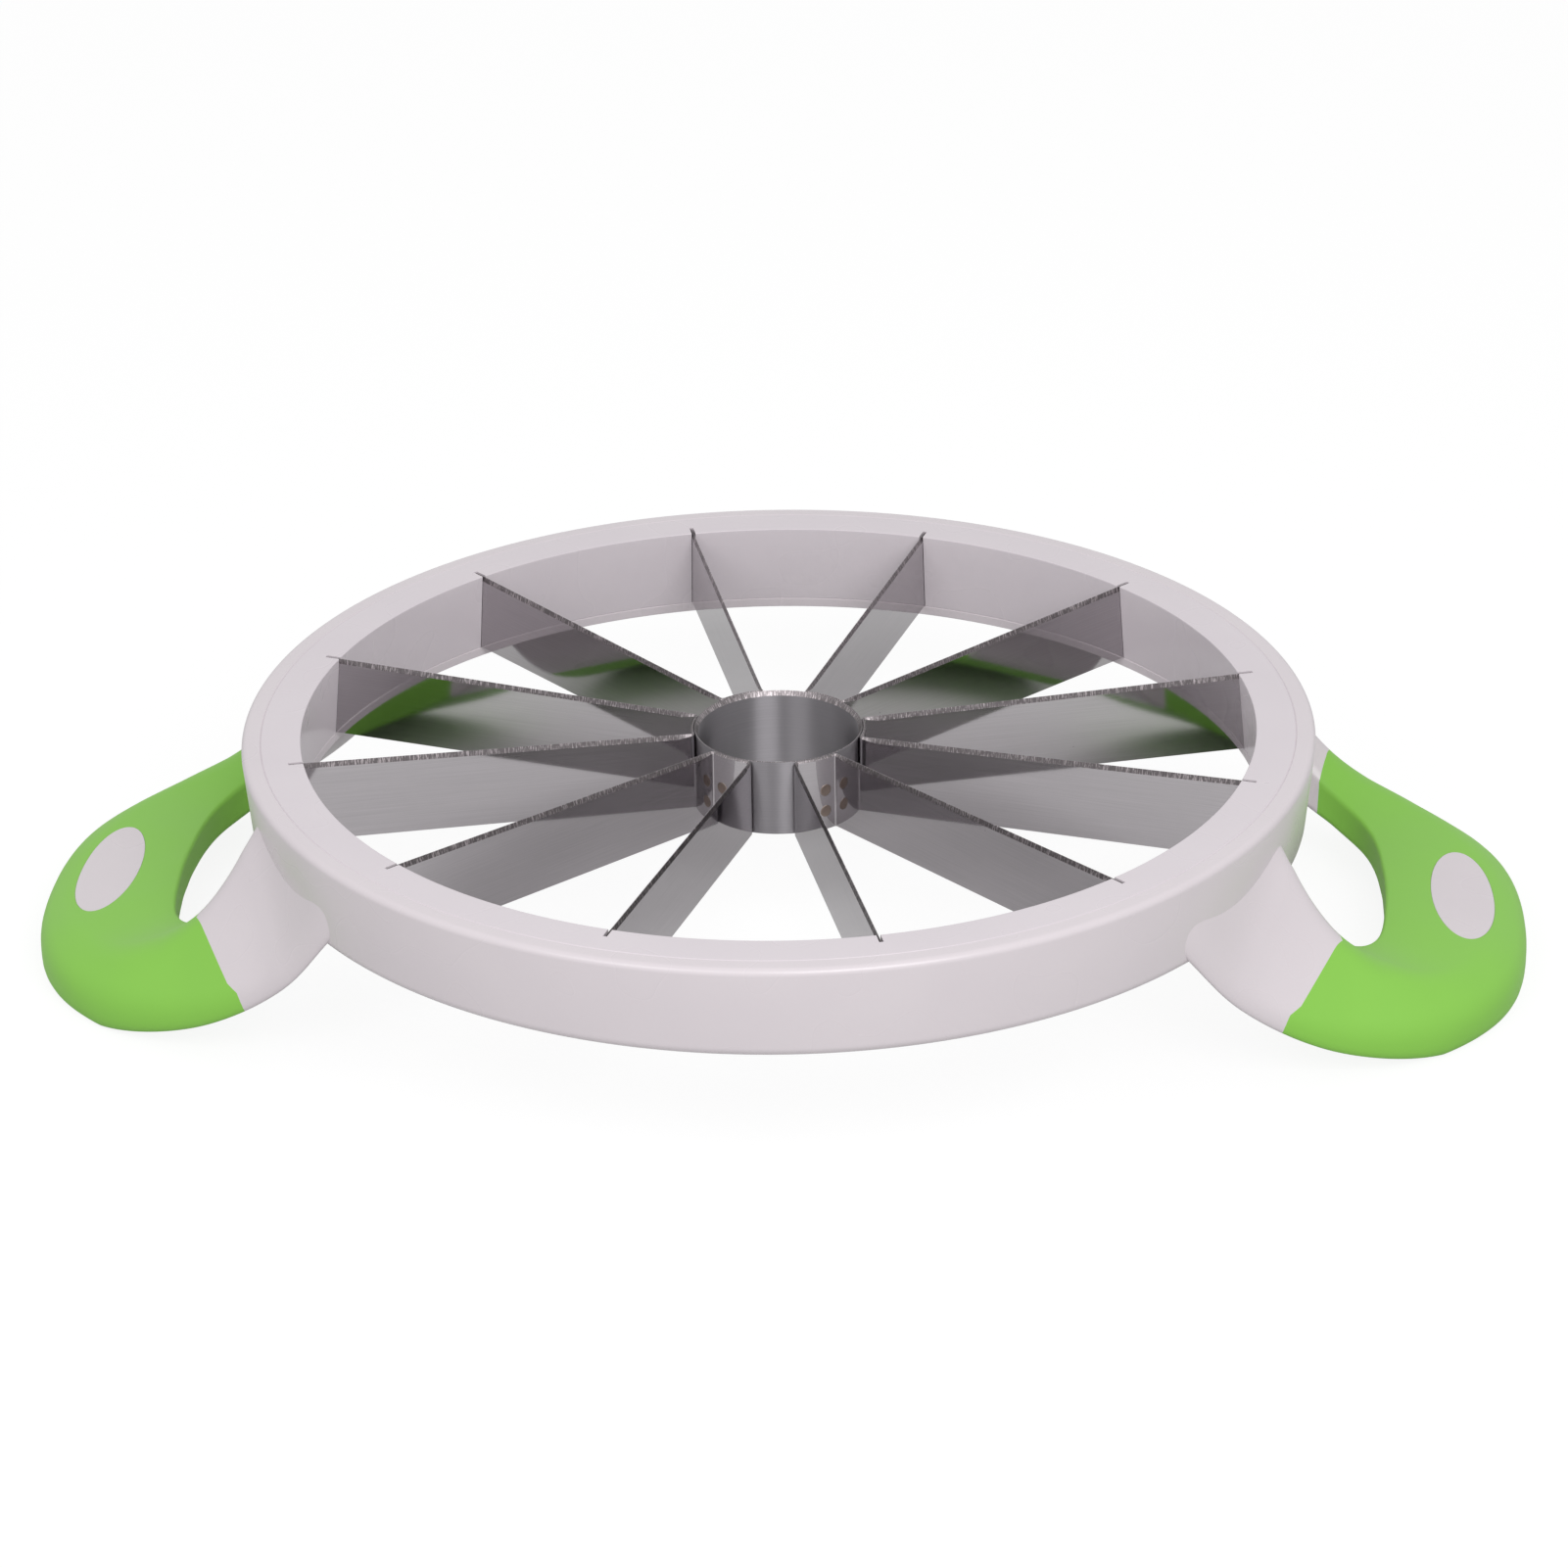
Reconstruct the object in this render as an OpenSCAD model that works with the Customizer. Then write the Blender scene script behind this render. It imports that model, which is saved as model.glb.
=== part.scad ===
// Watermelon slicer: a ring of twelve radial blades round a hub, with two loop handles.
// It stands as it is laid down, cutting edges up, on the outer bars of its handles.
// The origin is the centre of its footprint, X runs through the handles and Z is up.

/* [Ring] */
// Outside diameter of the ring at its top
ring_d = 280; // [240:1:320]
// Width of the ring's top face, from the inside edge to the outside edge
ring_w = 15.4; // [13:0.1:20]
// Thickness of the frame's outside wall at the top
wall_t = 5; // [4:0.1:7]
// Thickness of the frame's flange under the blade ring
flange_t = 2.6; // [1.6:0.1:4]
// How far the inside wall flares out from the top to the flange
inner_draft = 2.2; // [0.5:0.1:3]
// How far the outside wall leans in from the top to the bottom
outer_draft = 1.8; // [0:0.1:2]
// Radius of the outside edge at the top
top_fillet = 1.8; // [0.5:0.1:2.5]
// Radius of the outside edge at the bottom
foot_fillet = 3; // [0.5:0.1:3]

/* [Blades] */
// Height of each blade at the ring
blade_h = 22; // [16:0.5:28]
// Thickness of the blade strip
blade_t = 0.9; // [0.6:0.05:1.4]
// Height of the ground bevel along each cutting edge
bevel_h = 1.3; // [0.6:0.1:2.5]
// Thickness left at the tip of the cutting edge
edge_t = 0.15; // [0.1:0.05:0.3]
// How far the cutting edges lie below the ring's top face
blade_sink = 0.2; // [0:0.1:1]
// How far the cutting edges fall from the ring to the hub
blade_dish = 2.2; // [0:0.1:4]
// How far each blade runs into its slot
blade_seat = 3.8; // [2:0.1:6]
// Clearance round a blade in its slot
slot_gap = 0.1; // [0.05:0.05:0.3]

/* [Hub] */
// Outside diameter of the hub
hub_d = 44; // [36:0.5:60]
// Wall thickness of the hub
hub_t = 1; // [0.8:0.1:2]
// Height of the hub, and of the strips where they wrap it
hub_h = 20.8; // [16:0.2:26]
// Height of the ground bevel inside the hub's top rim
hub_bevel = 1.2; // [0.5:0.1:2.5]
// Diameter of a spot weld
weld_d = 3.3; // [2:0.1:5]
// Distance between the two welds of a strip
weld_pitch = 6; // [5:0.1:7]
// How far the welds lie round from the middle of a strip, in degrees
weld_turn = 6; // [0:1:8]

/* [Handles] */
// How far each handle stands out from the ring
handle_reach = 57; // [50:0.5:66]
// Width of each handle where it leaves the ring
handle_w = 179; // [168:1:194]
// How far the handles reach below the ring's underside
handle_drop = 40; // [33:0.5:48]
// Width of the finger opening at the ring
eye_w = 86; // [76:1:94]
// Depth of the finger opening, from the ring to the grip bar
eye_depth = 19; // [16:0.5:24]
// Thickness of the grip bar along its outside edge
bar_t = 13.6; // [12:0.2:18]
// Thickness of the grip bar along the finger opening
bar_edge_t = 8.8; // [7:0.2:12]
// Thickness of the soft grip over the handle's core
grip_t = 2; // [1.2:0.1:2.6]
// Length of the oval window in the grip
oval_l = 49.5; // [36:0.5:54]
// Width of the oval window in the grip
oval_w = 17; // [12:0.5:20]
// Distance from the handle's tip to the middle of the oval window
oval_inset = 16.8; // [15:0.2:19]

/* [Hidden] */

// Colours
frame_white = "#dcd6dc";
carrier_white = "#e2dce2";
grip_green = "#92d961";
steel_grey = "#a9a7a8";
weld_brown = "#8f857c";

// Ring, from the outside in
ring_r = ring_d / 2;
bore_r = ring_r - ring_w;
seam_r = ring_r - wall_t;
seat_gap = 0.2;
ring_h = blade_sink + blade_h + seat_gap + flange_t;
under_z = handle_drop;
top_z = under_z + ring_h;
shelf_z = under_z + flange_t;
lip_r = bore_r + inner_draft;
overrun = 1;

// Blades
strip_count = 6;
strip_step = 360 / strip_count;
half_step = strip_step / 4;
hub_r = hub_d / 2;
edge_z = top_z - blade_sink;
hub_top_z = edge_z - blade_dish;
hub_bottom_z = hub_top_z - hub_h;
blade_end_r = bore_r + blade_seat;
slot_end_r = blade_end_r + slot_gap;
fold_r = hub_r + blade_t / 2;

// Welds
weld_bite = blade_t / 2;
weld_proud = 0.15;
weld_height_share = 0.4;
weld_z = hub_bottom_z + hub_h * weld_height_share;

// Handle stations run from a root at the ring to the middle of the bar.
// Places are polar about the ring's centre: a share of the root's angle and of the reach.
root_sink_share = 0.4;
root_r = ring_r - wall_t * root_sink_share;
// The roots stop this far short of the seam with the blade ring
root_gap = 0.2;
outer_angle = asin(handle_w / 2 / root_r);
inner_angle = asin(eye_w / 2 / root_r);
outer_angle_shares = [1, 0.832, 0.652, 0.461, 0.256, 0];
outer_reach_shares = [0, 0.102, 0.405, 0.763, 0.963, 1];
inner_angle_shares = [1, 1.06, 0.87, 0.61, 0.185, 0];
inner_reach_shares = [0, 0.2, 0.73, 1.01, 1.03, 1.03];
// The lowest edge is rounded, so the full drop of the tables below is a little more than the real one
drop_share = 1.03;
full_drop = handle_drop * drop_share;
// Heights are shares of the full drop, and thicknesses are shares of the bar's own
outer_foot_shares = [1.03, 0.575, 0.195, 0, 0, 0];
outer_side_shares = [1.25, 0.6, 0.62, 0.84, 0.88, 0.9];
inner_mid_shares = [1.08, 0.72, 0.5, 0.41, 0.4, 0.4];
inner_half_shares = [0.6, 1.05, 1, 0.97, 0.96, 1];
inner_lean_shares = [0.6, 0.6, 0.4, 0.15, 0, 0];
// The ridge runs over the top of the arms, and dies out along the bar's outside edge
ridge_place_shares = [0.08, 0.12, 0.45, 0.72, 0.8, 0.8];
ridge_height_shares = [1.45, 1.3, 0.82, 0.5, 0.42, 0.39];
station_count = len(outer_angle_shares);
lean = bar_edge_t / 2;
edge_round = bar_edge_t / 6;
least_round = edge_round / 4;
// Roundings of the low edge, the side's top edge and the ridge, as shares of the shorter face
// beside each of them
low_round_share = 0.48;
side_round_share = 0.45;
ridge_round_share = 0.34;
bar_middle = station_count - 1;

// The grip's ends lie this far along the stations, at each corner of the section
grip_end_shares = [1.6, 1.42, 1.5, 1.95, 1.65];
// How far each rounded corner follows the line to the station before it and to the one after it
follow_back_shares = [0.1, 0.2, 0.45, 0.2, 0.1];
follow_on_shares = [0.05, 0.45, 0.2, 0.3, 0.1];
half_path_steps = 16;
root_steps = 8;
round_steps = 4;
corner_steps = 3;
corner_count = 5;
oval_steps = 48;

// Oval window, on the bar's sloping upper face
tip_x = ring_r + handle_reach;
oval_x = tip_x - oval_inset;
face_in = [ring_r + eye_depth * inner_reach_shares[bar_middle],
    inner_mid_shares[bar_middle] * full_drop + bar_edge_t / 2];
face_out = [face_in[0] + (tip_x - face_in[0]) * ridge_place_shares[bar_middle],
    ridge_height_shares[bar_middle] * full_drop];
face_tilt = atan2(face_in[1] - face_out[1], face_out[0] - face_in[0]);
oval_z = face_in[1] - (oval_x - face_in[0]) * tan(face_tilt);

// Points of an arc about a centre, from one angle to another
function arc(centre, r, from, to, steps) =
    [for (i = [0:steps]) let (a = from + (to - from) * i / steps)
        centre + r * [cos(a), sin(a)]];

// Value at v on a smooth curve through a list of values that is mirrored past its end
function mirrored(list, i, sign) =
    let (last = len(list) - 1)
    i < 0 ? 2 * list[0] - list[1]
    : i <= last ? list[i]
    : i <= 2 * last ? sign * list[2 * last - i]
    : sign * (2 * list[0] - list[1]);
function smooth(list, v, sign = 1) =
    let (i = min(floor(v), 2 * (len(list) - 1) - 1), u = v - i,
        a = mirrored(list, i - 1, sign), b = mirrored(list, i, sign),
        c = mirrored(list, i + 1, sign), d = mirrored(list, i + 2, sign))
    (2 * b + (c - a) * u + (2 * a - 5 * b + 4 * c - d) * pow(u, 2)
        + (3 * b - a - 3 * c + d) * pow(u, 3)) / 2;

// Angles are mirrored with their sign, so a handle is the same on both sides of X
function at(r, a) = [r * cos(a), r * sin(a)];
function outer_spot(v) = at(smooth_reach(outer_reach_shares, v, handle_reach),
    outer_angle * smooth(outer_angle_shares, v, -1));
function inner_spot(v) = at(smooth_reach(inner_reach_shares, v, eye_depth),
    inner_angle * smooth(inner_angle_shares, v, -1));
function smooth_reach(list, v, reach) =
    let (base = root_r - ring_r)
    ring_r + max(base, reach * smooth(list, v) + base * max(0, 1 - min(v, 2 * bar_middle - v)));

// Corners of the handle's section at station v: distance out from the finger opening, and height.
// They are the opening's low edge, the outside edge's low and top corners, the ridge and the
// opening's top edge.
function corners(v) =
    let (w = norm(outer_spot(v) - inner_spot(v)),
        foot = full_drop * smooth(outer_foot_shares, v),
        side = bar_t * smooth(outer_side_shares, v),
        mid = full_drop * smooth(inner_mid_shares, v),
        half = bar_edge_t / 2 * smooth(inner_half_shares, v),
        tilt = lean * smooth(inner_lean_shares, v) / 2)
    [[-tilt, mid - half], [w, foot], [w, foot + side],
        [w * smooth(ridge_place_shares, v), full_drop * smooth(ridge_height_shares, v)],
        [tilt, mid + half]];
function unit(p) = p / norm(p);
function left_of(p) = [-p[1], p[0]];
function after(j) = (j + 1) % corner_count;
function before(j) = (j + corner_count - 1) % corner_count;

// A corner moved in by inset from both faces beside it
function drawn_in(c, j, inset) =
    let (a = left_of(unit(c[j] - c[before(j)])), b = left_of(unit(c[after(j)] - c[j])))
    c[j] + inset * (a + b) / (1 + a * b);

// A corner rounded over a reach along both faces beside it
function rounded(c, j, reach) =
    let (a = reach * unit(c[before(j)] - c[j]), b = reach * unit(c[after(j)] - c[j]))
    [for (i = [0:corner_steps]) let (s = i / corner_steps)
        c[j] + a * pow(1 - s, 2) + b * pow(s, 2)];

// One closed section of the handle at station v, drawn in by inset on all sides
function section(v, inset) =
    let (full = corners(v),
        c = [for (j = [0:corner_count - 1]) drawn_in(full, j, inset)],
        faces = [for (j = [0:corner_count - 1]) norm(c[after(j)] - c[j])],
        k = max(edge_round - inset, least_round),
        reaches = [k, low_round_share * min(faces[0], faces[1]),
            side_round_share * min(faces[1], faces[2]),
            ridge_round_share * min(faces[2], faces[3]), k],
        i = inner_spot(v), e = unit(outer_spot(v) - i))
    [for (j = [0:corner_count - 1]) for (p = rounded(c, j, reaches[j]))
        [i[0] + e[0] * p[0], i[1] + e[1] * p[0], p[1]]];

// A closed ring of points whose corners each have a station of their own, with a smooth line between
function slanted(at, inset) =
    [for (j = [0:corner_count - 1]) for (i = [0:corner_steps])
        let (t = 2 * i / corner_steps - 1,
            v = at[j] + (t < 0 ? (at[j] - at[before(j)]) * t * follow_back_shares[j]
                : (at[after(j)] - at[j]) * t * follow_on_shares[j]))
        section(v, inset)[j * (corner_steps + 1) + i]];

section_points = corner_count * (corner_steps + 1);

// Triangles that join one ring of points to the next, and the caps of the first and last
function skin(rows, m, base = 0, flip = false) =
    [for (i = [0:rows - 2]) for (j = [0:m - 1])
        let (a = base + i * m + j, b = base + i * m + (j + 1) % m, c = a + m, d = b + m)
        for (t = flip ? [[a, b, c], [b, d, c]] : [[a, c, b], [b, c, d]]) t];
function cap(m, base, flip) =
    [flip ? [for (j = [m - 1:-1:0]) base + j] : [for (j = [0:m - 1]) base + j]];

// Stations of the back root, of the grip from its back end to its front end, and of the front root
root_ring = [0, 0, 0, 0, 0];
middle_ring = [for (share = grip_end_shares) bar_middle];
function between(a, b, steps) = [for (i = [0:steps]) a + (b - a) * i / steps];
back_stations = between(root_ring, grip_end_shares, root_steps);
grip_stations = concat(
    between(grip_end_shares, middle_ring, half_path_steps),
    [for (i = [1:half_path_steps])
        middle_ring + (middle_ring - grip_end_shares) * i / half_path_steps]);
front_stations = between(2 * middle_ring - grip_end_shares, 2 * middle_ring - root_ring, root_steps);

// Outside of the grip, the core under it, and the height of their lowest point, which is put on Z = 0
grip_outside = [for (at = grip_stations) slanted(at, 0)];
grip_inside = [for (at = grip_stations) slanted(at, grip_t)];
rest_z = min([for (ring = grip_outside) for (p = ring) p[2]]);

// Flat outline of the frame's wall and flange, in radius and height
module frame_outline() {
    foot_r = ring_r - outer_draft;
    polygon(concat(
        [[seam_r, shelf_z], [seam_r, top_z]],
        arc([ring_r - top_fillet, top_z - top_fillet], top_fillet, 90, 0, round_steps),
        arc([foot_r - foot_fillet, under_z + foot_fillet], foot_fillet, 0, -90, round_steps),
        [[lip_r, under_z], [lip_r, shelf_z]]));
}

// Solid through a list of sections, closed at both ends
module loft(sections) {
    m = section_points;
    n = len(sections);
    polyhedron([for (s = sections) each s],
        concat(skin(n, m), cap(m, 0, false), cap(m, (n - 1) * m, true)));
}

// Hollow solid between an outside and an inside list of sections, open at no end
module sleeve(outside, inside) {
    m = section_points;
    n = len(outside);
    base = n * m;
    last = (n - 1) * m;
    polyhedron([for (s = concat(outside, inside)) each s],
        concat(skin(n, m), skin(n, m, base, true),
            [for (j = [0:m - 1]) let (k = (j + 1) % m)
                for (t = [[j, k, base + j], [k, base + k, base + j]]) t],
            [for (j = [0:m - 1]) let (k = (j + 1) % m)
                for (t = [[last + j, base + last + j, last + k],
                    [last + k, base + last + j, base + last + k]]) t]));
}

// Right handle: both white roots and the slimmer core that the grip covers.
// Wide roots are cut back to just outside the seam.
module handle_body() {
    difference() {
        translate([0, 0, -rest_z])
            loft(concat(
                [for (at = back_stations) slanted(at, 0)],
                grip_inside,
                [for (at = front_stations) slanted(at, 0)]));
        translate([0, 0, -overrun])
            cylinder(h = top_z + 2 * overrun, r = seam_r + root_gap, $fn = 180);
    }
}

// Upright oval prism through the bar's upper face
module oval_prism(depth) {
    translate([oval_x, 0, oval_z - rest_z])
        rotate([0, face_tilt, 0])
            translate([0, 0, -depth])
                linear_extrude(height = depth + bar_t)
                    polygon([for (i = [0:oval_steps - 1]) let (a = 360 * i / oval_steps)
                        [oval_w / 2 * cos(a), oval_l / 2 * sin(a)]]);
}

// Oval pad of the core, level with the grip round it
module oval_pad() {
    intersection() {
        translate([0, 0, -rest_z]) loft(grip_outside);
        oval_prism(grip_t + edge_round);
    }
}

// Grip of the right handle
module grip() {
    difference() {
        translate([0, 0, -rest_z]) sleeve(grip_outside, grip_inside);
        oval_prism(grip_t + edge_round);
    }
}

module outer_frame() {
    color(frame_white) union() {
        rotate_extrude($fn = 180) frame_outline();
        for (side = [0, 1]) mirror([side, 0, 0]) {
            handle_body();
            oval_pad();
        }
    }
}

module blade_ring() {
    color(carrier_white) difference() {
        rotate_extrude($fn = 180)
            polygon([[bore_r, top_z], [seam_r, top_z], [seam_r, shelf_z], [lip_r, shelf_z]]);
        for (i = [0:2 * strip_count - 1])
            rotate([0, 0, (2 * i + 1) * half_step])
                translate([bore_r - overrun, -blade_t / 2 - slot_gap, shelf_z - overrun])
                    cube([slot_end_r - bore_r + overrun, blade_t + 2 * slot_gap,
                        top_z - shelf_z + 2 * overrun]);
    }
}

module hub_ring() {
    inner_r = hub_r - hub_t;
    color(steel_grey) difference() {
        rotate_extrude($fn = 96)
            polygon([[inner_r, hub_bottom_z], [hub_r, hub_bottom_z], [hub_r, hub_top_z],
                [hub_r - edge_t, hub_top_z], [inner_r, hub_top_z - hub_bevel]]);
        weld_nuggets();
    }
}

// Side view of a blade, in radius and height
module blade_side() {
    bottom_z = edge_z - blade_h;
    polygon([[fold_r, hub_bottom_z], [bore_r, bottom_z], [blade_end_r, bottom_z],
        [blade_end_r, edge_z], [bore_r, edge_z], [fold_r, hub_top_z]]);
}

// Wedges that are ground off both sides of the cutting edge, along the blade
module bevel_wedges() {
    run = bore_r - fold_r;
    fall = atan2(blade_dish, run);
    translate([fold_r, 0, hub_top_z])
        rotate([0, -fall, 0])
            translate([-blade_t, 0, 0])
                rotate([90, 0, 90])
                    for (side = [0, 1]) mirror([side, 0, 0])
                        linear_extrude(height = run / cos(fall) + blade_seat + 2 * blade_t)
                            polygon([[edge_t / 2, overrun / 2], [edge_t / 2, 0],
                                [blade_t / 2, -bevel_h], [blade_t / 2 + overrun, -bevel_h],
                                [blade_t / 2 + overrun, overrun / 2]]);
}

// One blade along +X, ground on both sides
module blade() {
    difference() {
        translate([0, blade_t / 2, 0])
            rotate([90, 0, 0])
                linear_extrude(height = blade_t) blade_side();
        bevel_wedges();
    }
}

// Folded strip: two blades and the arc that hugs the hub between them
module blade_pair(number) {
    color(steel_grey) rotate([0, 0, (number - 1) * strip_step]) difference() {
        union() {
            rotate([0, 0, half_step]) blade();
            rotate([0, 0, -half_step]) mirror([0, 1, 0]) blade();
            rotate([0, 0, -half_step])
                rotate_extrude(angle = 2 * half_step, $fn = 96)
                    translate([hub_r, hub_bottom_z]) square([blade_t, hub_h]);
        }
        rotate([0, 0, -(number - 1) * strip_step]) strip_nuggets(number);
    }
}

// Two weld nuggets of a strip; they lie to one side of its middle, and to the other on the next
module strip_nuggets(number) {
    turn = number % 2 == 0 ? weld_turn : -weld_turn;
    for (side = [-1, 1])
        rotate([0, 0, (number - 1) * strip_step + turn])
            translate([hub_r - weld_bite, 0, weld_z + side * weld_pitch / 2])
                rotate([0, 90, 0])
                    cylinder(h = weld_bite + blade_t + weld_proud, d = weld_d, $fn = 32);
}

module weld_nuggets() {
    for (number = [1:strip_count]) strip_nuggets(number);
}

module spot_welds() {
    color(weld_brown) weld_nuggets();
}

module left_grip() {
    color(grip_green) mirror([1, 0, 0]) grip();
}

module right_grip() {
    color(grip_green) grip();
}

outer_frame();
blade_ring();
hub_ring();
blade_pair(1);  // blade_pair_1
blade_pair(2);  // blade_pair_2
blade_pair(3);  // blade_pair_3
blade_pair(4);  // blade_pair_4
blade_pair(5);  // blade_pair_5
blade_pair(6);  // blade_pair_6
spot_welds();
left_grip();
right_grip();
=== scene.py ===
# Dresses the watermelon slicer: ring, loop handles, blades, hub and a plain white studio.
# Every place is in the part's own frame: origin under the ring's centre, X through the handles, Z up.

import math
from functools import lru_cache

import bmesh
import bpy
from bpy.props import FloatProperty, FloatVectorProperty, PointerProperty
from bpy.types import Operator, Panel, PropertyGroup
from mathutils import Matrix, Vector


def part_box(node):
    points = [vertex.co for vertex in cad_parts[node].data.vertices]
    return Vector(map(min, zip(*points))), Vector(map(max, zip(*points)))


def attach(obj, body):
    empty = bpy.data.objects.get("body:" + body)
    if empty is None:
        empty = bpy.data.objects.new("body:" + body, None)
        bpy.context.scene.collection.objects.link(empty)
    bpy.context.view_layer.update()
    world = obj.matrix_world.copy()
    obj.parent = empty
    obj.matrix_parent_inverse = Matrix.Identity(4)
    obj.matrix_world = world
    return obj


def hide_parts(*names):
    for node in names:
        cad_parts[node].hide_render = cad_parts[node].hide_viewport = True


bl_info = {
    "name": "Watermelon slicer",
    "version": (1, 0, 0),
    "blender": (4, 5, 0),
    "location": "3D View > Sidebar > Slicer",
    "description": "Builds a watermelon slicer with its finishes and a plain white studio",
    "category": "Object",
}

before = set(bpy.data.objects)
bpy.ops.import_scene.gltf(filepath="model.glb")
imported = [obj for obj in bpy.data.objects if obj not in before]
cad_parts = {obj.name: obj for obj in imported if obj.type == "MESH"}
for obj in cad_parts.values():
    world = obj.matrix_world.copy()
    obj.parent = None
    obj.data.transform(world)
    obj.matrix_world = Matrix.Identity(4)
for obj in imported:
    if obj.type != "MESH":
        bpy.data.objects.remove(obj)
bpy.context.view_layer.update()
MM = 0.001
RING_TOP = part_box("outer_frame")[1].z
BLADE_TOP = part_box("blade_pair_1")[1].z
HUB_LOW, HUB_HIGH = (corner.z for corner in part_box("hub_ring"))
STRIP_COUNT = 6
STRIP_STEP = math.tau / STRIP_COUNT
# Angle from a strip's middle to each of its two blades
BLADE_TURN = STRIP_STEP / 4

# Steps round or along each curve of the meshes
RING_STEPS = 360
HUB_STEPS = 240
HUB_ROWS = 8
FILLET_STEPS = 10
BORE_EDGE_STEPS = 5
ARM_STEPS = 60
FOLD_STEPS = 10
HUG_STEPS = 12
STRIP_ROWS = 14
WELD_STEPS = 40
CORE_STEPS = 48
GRIP_STEPS = 64
REST_STEPS = 32
OVAL_STEPS = 128

# Faces that meet at more than this many degrees show a hard edge
METAL_CREASE = 12
MOULDED_CREASE = 30
HANDLE_CREASE = 40
WELD_CREASE = 40

# Small sizes that nobody would change
BORE_EDGE_R = 0.35 * MM
HUB_CHAMFER = 0.12 * MM
STRIP_CHAMFER = 0.08 * MM
HUB_PLAY = 0.01 * MM
TOOL_SPARE = 2 * MM


def length(name, about, value):
    """A length property whose default is given in millimetres."""
    return FloatProperty(name=name, description=about, default=value * MM, unit="LENGTH", precision=5)


def colour(name, about, value):
    """A colour property whose default is given as an sRGB hex string."""
    return FloatVectorProperty(name=name, description=about, default=linear(value), size=4,
                               subtype="COLOR", min=0, max=1)


def linear(hex_code):
    """Scene-linear RGBA of an sRGB hex string."""
    shares = [int(hex_code[i:i + 2], 16) / 255 for i in (0, 2, 4)]
    return tuple(s / 12.92 if s <= 0.04045 else ((s + 0.055) / 1.055) ** 2.4 for s in shares) + (1,)


class RingSizes(PropertyGroup):
    ring_d: length("Ring diameter", "Outside diameter of the ring at its top", 280)
    ring_w: length("Ring width", "Width of the ring's top face", 15.4)
    wall_t: length("Outer wall", "Thickness of the outside wall at the top", 5)
    flange_t: length("Flange", "Thickness of the flange under the blade ring", 2.6)
    inner_draft: length("Inner draft", "How far the inside wall flares out to the flange", 2.2)
    outer_draft: length("Outer draft", "How far the outside wall leans in to the bottom", 1.8)
    top_fillet: length("Top fillet", "Radius of the outside edge at the top", 1.8)
    foot_fillet: length("Foot fillet", "Radius of the outside edge at the bottom", 3)
    seam_groove: length("Seam", "Width and depth of the fine seam on the top face", 0.22)
    ring_h: length("Ring height", "Height of the ring", 25)


class BladeSizes(PropertyGroup):
    blade_h: length("Blade height", "Height of each blade at the ring", 22)
    blade_t: length("Blade thickness", "Thickness of the folded strip", 0.9)
    bevel_h: length("Bevel height", "Height of the ground bevel on each side of the edge", 1.3)
    edge_t: length("Edge thickness", "Thickness left at the cutting edge", 0.15)
    blade_seat: length("Seat", "How far each blade runs into its slot", 3.8)
    slot_gap: length("Slot clearance", "Clearance round a blade in its slot", 0.1)
    fold_r: length("Fold radius", "Radius of the strip's folds at the hub", 0.9)
    hub_d: length("Hub diameter", "Outside diameter of the hub", 44)
    hub_t: length("Hub wall", "Wall thickness of the hub", 1)
    hub_h: length("Hub height", "Height of the hub", 20.8)
    hub_bevel: length("Hub bevel", "Height of the ground bevel inside the hub's rim", 1.2)
    weld_d: length("Weld diameter", "Diameter of a spot weld", 3.3)
    weld_pitch: length("Weld pitch", "Distance between the two welds of a strip", 6)


class HandleSizes(PropertyGroup):
    handle_reach: length("Reach", "How far each handle stands out from the ring", 57)
    handle_w: length("Handle width", "Width of each handle where it leaves the ring", 179)
    handle_drop: length("Drop", "How far the handles reach below the ring", 40)
    eye_w: length("Opening width", "Width of the finger opening at the ring", 86)
    eye_depth: length("Opening depth", "Depth of the finger opening", 19)
    bar_t: length("Bar thickness", "Thickness of the grip bar along its outside edge", 13.6)
    bar_edge_t: length("Bar edge", "Thickness of the grip bar along the finger opening", 8.8)
    grip_t: length("Grip thickness", "Thickness of the soft grip over the core", 2)
    oval_l: length("Oval length", "Length of the oval window in the grip", 49.5)
    oval_w: length("Oval width", "Width of the oval window in the grip", 17)
    oval_inset: length("Oval inset", "From the handle's tip to the middle of the oval", 16.8)
    oval_gap: length("Oval gap", "Fine gap round the oval pad", 0.08)


class Finishes(PropertyGroup):
    frame_white: colour("Frame", "Off-white of the frame and its ovals", "DFD7DB")
    ring_white: colour("Blade ring", "Off-white of the ring that carries the blades", "DFD7DC")
    grip_green: colour("Grips", "Lime green of the soft grips", "8BCC4E")
    steel_grey: colour("Steel", "Grey of the rolled strip", "BAB6B9")
    hub_grey: colour("Hub", "Grey of the brushed hub", "9A979B")
    ground_grey: colour("Ground steel", "Grey of the ground edges", "8A8486")
    weld_brown: colour("Weld tint", "Brown of the heat tint round the welds", "42342D")
    weld_pale: colour("Weld", "Warm grey of the pressed weld discs", "94867D")


class StudioSettings(PropertyGroup):
    key_power: FloatProperty(name="Key power", description="Power of the softbox at the front right",
                             default=5.6, unit="POWER")
    fill_power: FloatProperty(name="Fill power", description="Power of the softbox at the front left",
                              default=2.7, unit="POWER")
    sky_level: FloatProperty(name="Sky level", description="Strength of the plain light all round",
                             default=0.58)
    floor_shadow: FloatProperty(name="Floor shadow", default=0.16, subtype="FACTOR", min=0, max=1,
                                description="Share of the floor's white that a shadow can take")


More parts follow.
